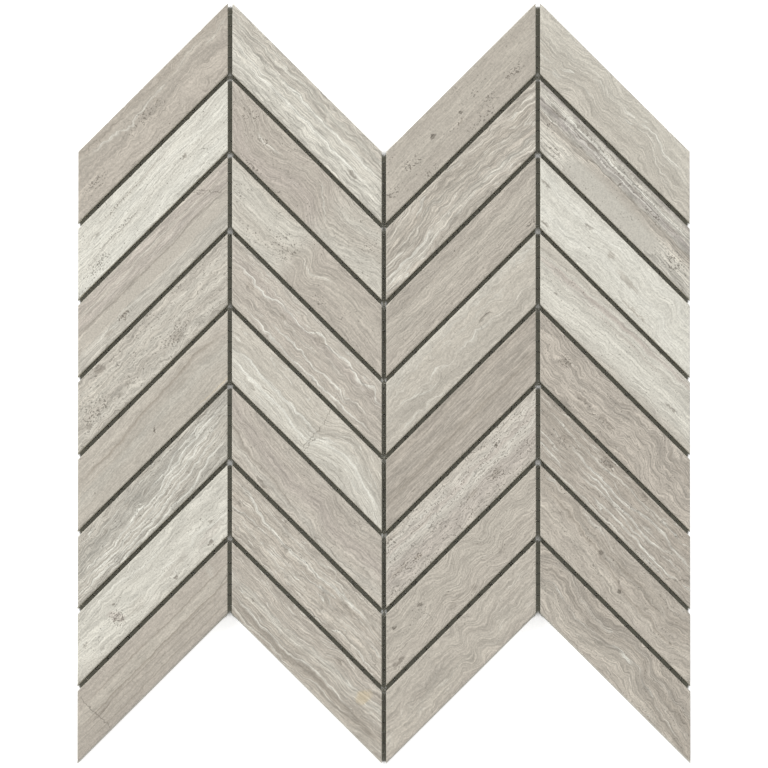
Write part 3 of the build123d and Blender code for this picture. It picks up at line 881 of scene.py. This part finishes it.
def draw_cracks(tree, colour, ragged, look):
    """Hairlines from one point to another."""
    for (u0, v0), (u1, v1) in look.cracks:
        length = math.hypot(u1 - u0, v1 - v0)
        inside = add(tree, "Mapping", {"Vector": ragged, "Location": ((u0 + u1) / 2, (v0 + v1) / 2, 0),
                                       "Rotation": (0, 0, math.atan2(v1 - v0, u1 - u0)),
                                       "Scale": (length / 2, CRACK_WIDTH, THROUGH)}, vector_type="TEXTURE")
        reach = add(tree, "SeparateXYZ",
                    {"Vector": add(tree, "VectorMath", {0: inside}, operation="ABSOLUTE")})
        ends = add(tree, "MapRange", {"Value": reach.outputs["X"], **CRACK_ENDS})
        sides = add(tree, "MapRange", {"Value": reach.outputs["Y"], **CRACK_SIDES})
        cover = add(tree, "Math", {0: ends, 1: sides}, operation="MULTIPLY")
        colour = add(tree, "Mix", {"Factor": cover, "A": colour, "B": linear(TONES["pit"])},
                     data_type="RGBA")
    return colour


print(sum(len(look.threads) for look in LOOKS.values()), "threads,",
      sum(len(look.patches) for look in LOOKS.values()), "patches,",
      sum(len(look.cracks) for look in LOOKS.values()), "cracks")

# %% [markdown]
# Dark grains gather in clouds. They are the high points of the same fine noise that gives the stone its
# grain: the more a place belongs to a cloud, the lower the bar that a grain has to pass.

# %% Grains
GRAIN_SIZE = 0.8  # mm
SPECK_GAPS = {"From Min": 0.4, "From Max": 0.75}  # break noise, where specks are few and where they are many
FEW_SPECKS, MANY_SPECKS = 0.3, 0.9  # share of the look's specks there
STRAY_SPECKS = 0.1  # density that every stone has where they are many
CLOUD_GAPS = {"From Min": 0.25, "From Max": 0.5}  # the same for clouds
CLOUD_LEAST = 0.5  # share of a cloud's density that is left in its gaps
GRAIN_BAR = {"To Min": 0.78, "To Max": 0.5}  # grain noise that shows, at a density of 0 and of 1
GRAIN_EDGE, GRAIN_COVER = 0.05, 0.7  # grain noise from a grain's rim to its middle, and its cover there
CLOUD_RIM = 0.6  # share of a cloud's size that is its soft rim


def scatter_grains(tree, colour, grain, breaks, ragged, look):
    """Dark grains, thin all over and thick in the look's clouds."""
    density = add(tree, "MapRange", {"Value": breaks, **SPECK_GAPS, "To Min": FEW_SPECKS * look.specks,
                                     "To Max": STRAY_SPECKS + MANY_SPECKS * look.specks})
    for *shape, thick in look.clouds:
        gap = add(tree, "MapRange", {"Value": breaks, **CLOUD_GAPS, "To Min": CLOUD_LEAST * thick,
                                     "To Max": thick})
        cloud = add(tree, "Math", {0: oval(tree, ragged, *shape, soft=CLOUD_RIM), 1: gap},
                    operation="MULTIPLY")
        density = add(tree, "Math", {0: density, 1: cloud}, operation="MAXIMUM")
    bar = add(tree, "MapRange", {"Value": density, **GRAIN_BAR})
    above = add(tree, "Math", {0: grain, 1: bar}, operation="SUBTRACT")
    dark = add(tree, "MapRange", {"Value": above, "From Max": GRAIN_EDGE, "To Max": GRAIN_COVER})
    return add(tree, "Mix", {"Factor": dark, "A": colour, "B": linear(TONES["pit"])}, data_type="RGBA")


print("grains are about", GRAIN_SIZE, "mm")

# %% [markdown]
# Honed marble is calcite, with an IOR near 1.49. Honing stops before a polish, so it has a broad, weak
# sheen. The chip's sides and back are as the saw left them: paler with dust, rougher, and ruled by the
# blade. The normal's Z tells the honed face from the sawn ones.

# %% Honed marble
HONED_ROUGHNESS, SAWN_ROUGHNESS = 0.5, 0.85
CALCITE_IOR, HONED_SHEEN = 1.49, 0.35
OWN_PART = (211.0, 97.0, 53.0)  # mm, from one chip's part of the quarry block to the next one's
FIBRE_SIZE = (9.0, 0.6, 3.0)  # mm, thin streaks along the leaves
SHIVER_SIZE = 2.2  # mm, of the raggedness of marks
SHIVER = (0.8, 0.8, 0.0)  # mm, how far it moves them
RAGGED = 2.2  # mm, how far the streaks move the bands' borders
FINE_NOISE = {"From Min": 0.35, "From Max": 0.65}  # most of a fine noise lies between these
STREAKS = 0.5  # contrast of the streaks on a look with a fibre of 1
SALT = 0.09  # contrast of the stone's grain
CALM_RIM = 0.25  # share of a calm area that is its soft rim
SAWN_SIDE = {"From Min": 0.3, "From Max": 0.8, "To Min": 1.0, "To Max": 0.0}  # Z of the normal to sawn or not
SAW_DUST = 0.7  # how far dust covers the stone's pattern on sawn sides
SAW_SIZE = (60.0, 60.0, 0.7)  # mm, saw marks, drawn coarser than a real blade's so that they show
SAW_DEPTH = 0.05  # mm
SAW_BUMP = 0.3


def honed_marble(name, look, seed):
    """The stone of one chip."""
    material = bpy.data.materials.new(name)
    tree = new_tree(material)
    coordinates = add(tree, "TexCoord")
    place = add(tree, "VectorMath", {0: coordinates.outputs["Object"], "Scale": 1 / MM}, operation="SCALE")
    own_part = [seed * step for step in OWN_PART]
    block = add(tree, "VectorMath", {0: place, 1: own_part}, operation="ADD")
    parts = add(tree, "SeparateXYZ", {"Vector": place})
    u = parts.outputs["X"]
    along = add(tree, "MapRange", {"Value": u, "From Min": -CHIP_REACH, "From Max": CHIP_REACH})
    across, leaves = fold_leaves(tree, parts.outputs["Y"], block, along, look)
    unfolded = add(tree, "CombineXYZ", {"X": u, "Y": leaves, "Z": parts.outputs["Z"]})
    leaf_place = add(tree, "VectorMath", {0: unfolded, 1: own_part}, operation="ADD")
    fibre_place = add(tree, "VectorMath", {0: leaf_place, 1: FIBRE_SIZE}, operation="DIVIDE")
    fibre = add(tree, "TexNoise", {"Vector": fibre_place, "Scale": 1.0, "Detail": 3.0, "Roughness": 0.6})
    grain_place = add(tree, "VectorMath", {0: block, "Scale": 1 / GRAIN_SIZE}, operation="SCALE")
    grain = add(tree, "TexNoise", {"Vector": grain_place, "Scale": 1.0, "Detail": 1.0, "Roughness": 0.6})
    shiver_place = add(tree, "VectorMath", {0: block, "Scale": 1 / SHIVER_SIZE}, operation="SCALE")
    shiver = add(tree, "TexNoise", {"Vector": shiver_place, "Scale": 1.0, "Detail": 2.0}, normalize=False,
                 noise_dimensions="2D")
    ragged = add(tree, "VectorMath", {0: shiver.outputs["Color"], 1: SHIVER, 2: place},
                 operation="MULTIPLY_ADD")

    ragged_edge = add(tree, "MapRange", {"Value": fibre, "To Min": -RAGGED, "To Max": RAGGED})
    plain = colour_bands(tree, u, leaves, ragged_edge, look)
    colour, breaks = draw_leaves(tree, plain, leaf_place, leaves, look, seed)
    colour = draw_threads(tree, colour, u, along, across, fibre, look)
    colour = lay_patches(tree, colour, ragged, fibre, look)
    streaks = add(tree, "MapRange", {"Value": fibre, **FINE_NOISE, "To Min": 1 - STREAKS * look.fibre,
                                     "To Max": 1 + STREAKS * look.fibre})
    colour = add(tree, "Mix", {"Factor": 1.0, "A": colour, "B": streaks}, data_type="RGBA",
                 blend_type="MULTIPLY")
    if look.calm:
        area = oval(tree, ragged, *look.calm, soft=CALM_RIM)
        smooth = colour_bands(tree, u, leaves, 0.0, look)
        colour = add(tree, "Mix", {"Factor": area, "A": colour, "B": smooth}, data_type="RGBA")
    colour = scatter_grains(tree, colour, grain, breaks, ragged, look)
    colour = draw_cracks(tree, colour, ragged, look)
    salt = add(tree, "MapRange", {"Value": grain, **FINE_NOISE, "To Min": 1 + SALT, "To Max": 1 - SALT})
    colour = add(tree, "Mix", {"Factor": 1.0, "A": colour, "B": salt}, data_type="RGBA",
                 blend_type="MULTIPLY")

    face = add(tree, "SeparateXYZ", {"Vector": coordinates.outputs["Normal"]})
    sawn = add(tree, "MapRange", {"Value": face.outputs["Z"], **SAWN_SIDE})
    dust = add(tree, "Math", {0: sawn, 1: SAW_DUST}, operation="MULTIPLY")
    colour = add(tree, "Mix", {"Factor": dust, "A": colour, "B": linear(TONES["cream"])}, data_type="RGBA")
    saw_place = add(tree, "VectorMath", {0: place, 1: SAW_SIZE}, operation="DIVIDE")
    saw_marks = add(tree, "TexNoise", {"Vector": saw_place, "Scale": 1.0, "Detail": 1.0})
    saw_height = add(tree, "Math", {0: saw_marks, 1: sawn}, operation="MULTIPLY")
    bump = add(tree, "Bump", {"Strength": SAW_BUMP, "Distance": SAW_DEPTH * MM, "Height": saw_height})
    rough = add(tree, "MapRange", {"Value": sawn, "To Min": HONED_ROUGHNESS, "To Max": SAWN_ROUGHNESS})
    stone = add(tree, "BsdfPrincipled", {"Base Color": colour, "Roughness": rough, "IOR": CALCITE_IOR,
                                         "Specular IOR Level": HONED_SHEEN, "Normal": bump})
    add(tree, "OutputMaterial", {"Surface": stone})
    return material


print("honed", HONED_ROUGHNESS, "sawn", SAWN_ROUGHNESS)

# %% [markdown]
# A chip is a slab with two long sides and two mitred ends. It could be the CAD solid with a bevel, but
# a sawn edge is never that clean: the arris is eased by hand and nicked in transit, most at the sharp
# tips. So each chip is built from rings that climb its sides and turn over the arris onto a grid for
# the face, and the nicks push the rings in and down.

# %% Chip geometry
ALONG_STEPS, ACROSS_STEPS = 150, 36  # cells of the face
ARRIS = 0.4  # mm
FOOT = 0.2  # mm, the small eased edge round the back
ARRIS_TURNS = (0, 25, 50, 72, 90)  # degrees, of the rings that turn over the arris
NICKS_PER_CHIP = 9
NICK_WIDTHS, NICK_DEPTHS = (0.5, 1.4), (0.06, 0.25)  # mm, least and most
TIP_WEAR, TIP_REACH = (0.05, 0.15), 1.5  # mm, how deep and how far the sharp tips are worn
ARRIS_GRAIN = 0.015  # mm, of an arris without nicks
NICK_ON_SIDE = 0.1  # share of a nick's depth on the side below it
NICK_DROP = 0.8  # share of a nick's depth by which it goes down
SAW_WANDER = 0.08  # mm, the most that a side is sawn too far in
PIT_DEPTH, PIT_REACH = 0.3, 1.2  # mm, and the pit's size as a share of its patch
SHARP_EDGE = math.radians(50)

chip_low, chip_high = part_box("chip_column_1_row_1")
chip_run = (chip_high.x - chip_low.x) / MM
chip_mitre = (chip_high.y - chip_low.y) / MM - chip_run  # the chips climb at 45 degrees
chip_length = chip_run * math.sqrt(2)
chip_width = chip_mitre / math.sqrt(2)
chip_thickness = (chip_high.z - chip_low.z) / MM


def side_places(inset, lean):
    """The rim of the chip, drawn in by inset: its points once round from a corner, and the way in at each."""
    half_width = chip_width / 2 - inset
    half_length = chip_length / 2 - inset * math.sqrt(2)
    t = np.linspace(-1, 1, ALONG_STEPS + 1)[:-1]
    s = np.linspace(-1, 1, ACROSS_STEPS + 1)[:-1]
    across = np.concatenate([-np.ones_like(t), s, np.ones_like(t), -s]) * half_width
    along = np.concatenate([t, np.ones_like(s), -t, -np.ones_like(s)]) * half_length
    end_in = np.array([-1.0, lean]) / math.sqrt(2)
    inward = np.concatenate([
        np.tile([0.0, 1.0], (len(t), 1)), np.tile(end_in, (len(s), 1)),
        np.tile([0.0, -1.0], (len(t), 1)), np.tile(-end_in, (len(s), 1)),
    ])
    return np.stack([along + lean * across, across], axis=1), inward


def nick_depths(places, lean, random):
    """How far the arris is broken back at each point of the rim, in mm."""
    depth = ARRIS_GRAIN * np.abs(random.normal(size=len(places)))
    for _ in range(NICKS_PER_CHIP):
        middle = places[random.integers(len(places))]
        width = random.uniform(*NICK_WIDTHS)
        distance = np.linalg.norm(places - middle, axis=1)
        depth = np.maximum(depth, random.uniform(*NICK_DEPTHS) * np.clip(1 - (distance / width) ** 2, 0, 1))
    tip = np.array([chip_length / 2 + chip_width / 2, lean * chip_width / 2])
    for corner in (tip, -tip):
        distance = np.linalg.norm(places - corner, axis=1)
        depth = np.maximum(depth, random.uniform(*TIP_WEAR) * np.clip(1 - (distance / TIP_REACH) ** 2, 0, 1))
    return depth


def make_chip(name, lean, look, seed):
    """The mesh of one chip about its own middle, with X along it and Z up from its back."""
    random = np.random.default_rng(seed)
    rim, inward = side_places(0, lean)
    nicks = nick_depths(rim, lean, random)
    wander = np.repeat(random.uniform(0.0, SAW_WANDER, 4),
                       [ALONG_STEPS, ACROSS_STEPS, ALONG_STEPS, ACROSS_STEPS])
    top = chip_thickness
    rings = [(FOOT, 0.0, 0.0), (0, FOOT, 0.0), (0, top / 3, NICK_ON_SIDE), (0, 2 * top / 3, NICK_ON_SIDE)]
    for turn in np.radians(ARRIS_TURNS):
        rings.append((ARRIS * (1 - math.cos(turn)), top - ARRIS * (1 - math.sin(turn)), 1.0))
    points, faces = [], []
    for inset, height, share in rings:
        places, _ = side_places(inset, lean)
        places = places + inward * (wander + share * nicks)[:, None]
        drop = NICK_DROP * nicks * (share == 1)
        points.append(np.column_stack([places, height - drop]))
    count = len(rim)
    for ring in range(len(rings) - 1):
        low = ring * count
        for i in range(count):
            j = (i + 1) % count
            faces.append((low + i, low + j, low + count + j, low + count + i))
    faces.append(tuple(range(count - 1, -1, -1)))

    last = (len(rings) - 1) * count
    half_width = chip_width / 2 - ARRIS
    half_length = chip_length / 2 - ARRIS * math.sqrt(2)
    s, t = np.meshgrid(np.linspace(-1, 1, ACROSS_STEPS + 1)[1:-1], np.linspace(-1, 1, ALONG_STEPS + 1)[1:-1])
    across = s.ravel() * half_width
    along = t.ravel() * half_length + lean * across
    height = np.full_like(across, top)
    for u, v, half_u, half_v, degrees, tone, _ in look.patches:
        if tone == "pit":
            c, n = math.cos(math.radians(degrees)), math.sin(math.radians(degrees))
            far = np.hypot(((along - u) * c + (across - v) * n) / half_u,
                           ((across - v) * c - (along - u) * n) / half_v)
            height -= PIT_DEPTH * np.clip(PIT_REACH - far, 0, 1)
    points.append(np.column_stack([along, across, height]))
    inner = len(rings) * count

    def face_point(i, j):
        """The number of the point at step i along and j across the face."""
        if j == 0:
            return last + i
        if i == ALONG_STEPS:
            return last + ALONG_STEPS + j
        if j == ACROSS_STEPS:
            return last + 2 * ALONG_STEPS + ACROSS_STEPS - i
        if i == 0:
            return last + 2 * ALONG_STEPS + 2 * ACROSS_STEPS - j
        return inner + (i - 1) * (ACROSS_STEPS - 1) + (j - 1)

    for i in range(ALONG_STEPS):
        for j in range(ACROSS_STEPS):
            faces.append((face_point(i, j), face_point(i + 1, j), face_point(i + 1, j + 1),
                          face_point(i, j + 1)))
    mesh = bpy.data.meshes.new(name)
    mesh.from_pydata((np.concatenate(points) * MM).tolist(), [], faces)
    mesh.shade_smooth()
    mesh.set_sharp_from_angle(angle=SHARP_EDGE)
    return mesh


print("chip in mm:", round(chip_length, 2), "x", round(chip_width, 2), "x", round(chip_thickness, 2))

# %% [markdown]
# Now the chips are laid. Each takes its node's place, turned so that its own X axis runs along it,
# because the stone is drawn in that measure. Even columns lean the other way.

# %% Lay the chips
triangles = 0
for (column, row), look in LOOKS.items():
    node = f"chip_column_{column}_row_{row}"
    low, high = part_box(node)
    lean = 1 if column % 2 else -1
    seed = column * 10 + row
    mesh = make_chip(f"stone_{column}_{row}", lean, look, seed)
    mesh.materials.append(honed_marble(f"honed_marble_{column}_{row}", look, seed))
    chip = bpy.data.objects.new(f"stone_column_{column}_row_{row}", mesh)
    chip.location = ((low.x + high.x) / 2, (low.y + high.y) / 2, low.z)
    chip.rotation_euler.z = lean * math.radians(45)
    bpy.context.scene.collection.objects.link(chip)
    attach(chip, "root")
    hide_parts(node)
    triangles += sum(len(p.vertices) - 2 for p in mesh.polygons)
print(len(LOOKS), "chips,", triangles, "triangles")

# %% [markdown]
# The mesh is laid from flat yarns of glass fibre, wetted with resin. From the face it only shows as a
# shade at the bottom of the joints, but the back is all yarn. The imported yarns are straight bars, so
# each is redrawn in its place as an oval band that swells and wavers a little, as yarn does when it is
# laid by machine and pressed flat.

# %% Yarn
YARN_SIDES = 8
YARN_STEP = 2.5  # mm
YARN_WAVER = 0.1  # mm
YARN_SWELL = (0.82, 1.0)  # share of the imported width, least and most
YARN_TAPER = 0.8  # share of the width that is left at a cut end
YARN_FLATNESS = 0.6  # 1 is a true oval, less has flatter sides
FILAMENT = 0.09  # mm, bundles of filaments, drawn coarser than single ones so that they show
FILAMENT_RUN = 6.0  # mm, over which a bundle keeps its shade
FILAMENT_SHADES = ("#cfcec2", "#e2e1d6")
FILAMENT_BUMP, FILAMENT_HEIGHT = 0.6, 0.05  # the height is in mm
GLASS_ROUGHNESS, GLASS_IOR = 0.5, 1.52


def yarn_boxes(node):
    """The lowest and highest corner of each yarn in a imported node, in mm."""
    yarns = bmesh.new()
    yarns.from_mesh(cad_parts[node].data)
    bmesh.ops.remove_doubles(yarns, verts=yarns.verts, dist=0.001 * MM)
    waiting, boxes = set(yarns.verts), []
    while waiting:
        found, edge = set(), [waiting.pop()]
        while edge:
            vertex = edge.pop()
            found.add(vertex)
            near = {e.other_vert(vertex) for e in vertex.link_edges} & waiting
            waiting -= near
            edge.extend(near)
        places = np.array([v.co for v in found]) / MM
        boxes.append((places.min(axis=0), places.max(axis=0)))
    yarns.free()
    return sorted(boxes, key=lambda box: tuple(box[0].round(2)))


def lay_yarns(name, node, axis, seed):
    """One mesh with all the yarns of a node, which run along axis 0 or 1."""
    random = np.random.default_rng(seed)
    side = 1 - axis
    angle = np.linspace(0, 2 * math.pi, YARN_SIDES, endpoint=False)
    points, faces, start = [], [], 0
    for low, high in yarn_boxes(node):
        steps = max(2, round((high[axis] - low[axis]) / YARN_STEP))
        run = np.linspace(low[axis], high[axis], steps + 1)
        bend = random.normal(size=steps + 1).cumsum()
        bend -= np.linspace(bend[0], bend[-1], steps + 1)
        bend *= YARN_WAVER / max(YARN_WAVER, np.abs(bend).max())
        middle = (low[side] + high[side]) / 2 + bend
        half_width = (high[side] - low[side]) / 2 * random.uniform(*YARN_SWELL, steps + 1)
        half_width[[0, -1]] *= YARN_TAPER
        half_height = (high[2] - low[2]) / 2
        profile = np.sign(np.sin(angle)) * np.abs(np.sin(angle)) ** YARN_FLATNESS
        ring = np.zeros((steps + 1, YARN_SIDES, 3))
        ring[:, :, axis] = run[:, None]
        ring[:, :, side] = middle[:, None] + half_width[:, None] * np.cos(angle)
        ring[:, :, 2] = low[2] + half_height * (1 + profile)
        points.append(ring.reshape(-1, 3))
        for i in range(steps):
            for k in range(YARN_SIDES):
                a, b = start + i * YARN_SIDES + k, start + i * YARN_SIDES + (k + 1) % YARN_SIDES
                quad = (a, b, b + YARN_SIDES, a + YARN_SIDES)
                faces.append(quad if axis == 1 else quad[::-1])
        first = tuple(range(start, start + YARN_SIDES))
        final = tuple(range(start + steps * YARN_SIDES, start + (steps + 1) * YARN_SIDES))
        faces.append(first[::-1] if axis == 1 else first)
        faces.append(final if axis == 1 else final[::-1])
        start += (steps + 1) * YARN_SIDES
    mesh = bpy.data.meshes.new(name)
    mesh.from_pydata((np.concatenate(points) * MM).tolist(), [], faces)
    mesh.shade_smooth()
    return mesh


def glass_yarn(name, axis):
    """Coated glass-fibre yarn: off-white, a little glossy from its resin, ruled along by its filaments."""
    material = bpy.data.materials.new(name)
    tree = new_tree(material)
    size = [FILAMENT * MM, FILAMENT * MM, FILAMENT * MM]
    size[axis] = FILAMENT_RUN * MM
    place = add(tree, "VectorMath", {0: add(tree, "TexCoord").outputs["Object"], 1: size}, operation="DIVIDE")
    filaments = add(tree, "TexNoise", {"Vector": place, "Scale": 1.0, "Detail": 2.0})
    dark, light = (linear(shade) for shade in FILAMENT_SHADES)
    colour = add(tree, "Mix", {"Factor": filaments, "A": dark, "B": light}, data_type="RGBA")
    bump = add(tree, "Bump", {"Strength": FILAMENT_BUMP, "Distance": FILAMENT_HEIGHT * MM,
                              "Height": filaments})
    yarn = add(tree, "BsdfPrincipled", {"Base Color": colour, "Roughness": GLASS_ROUGHNESS, "IOR": GLASS_IOR,
                                        "Normal": bump})
    add(tree, "OutputMaterial", {"Surface": yarn})
    return material


for name, node, axis in (("warp", "mesh_warp_yarns", 1), ("weft", "mesh_weft_yarns", 0)):
    mesh = lay_yarns(f"{name}_yarns", node, axis, seed=7 + axis)
    mesh.materials.append(glass_yarn(f"glass_fibre_{name}", axis))
    yarns = bpy.data.objects.new(f"glass_{name}_yarns", mesh)
    bpy.context.scene.collection.objects.link(yarns)
    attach(yarns, "root")
    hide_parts(node)
    print(name, sum(len(p.vertices) - 2 for p in mesh.polygons), "triangles")

# %% [markdown]
# Last, the imported sheet's box is printed. The dressed sheet may not grow beyond it: a tile that is too
# big doesn't fit its neighbours.

# %% Print the imported box
print("packed", cad_box)
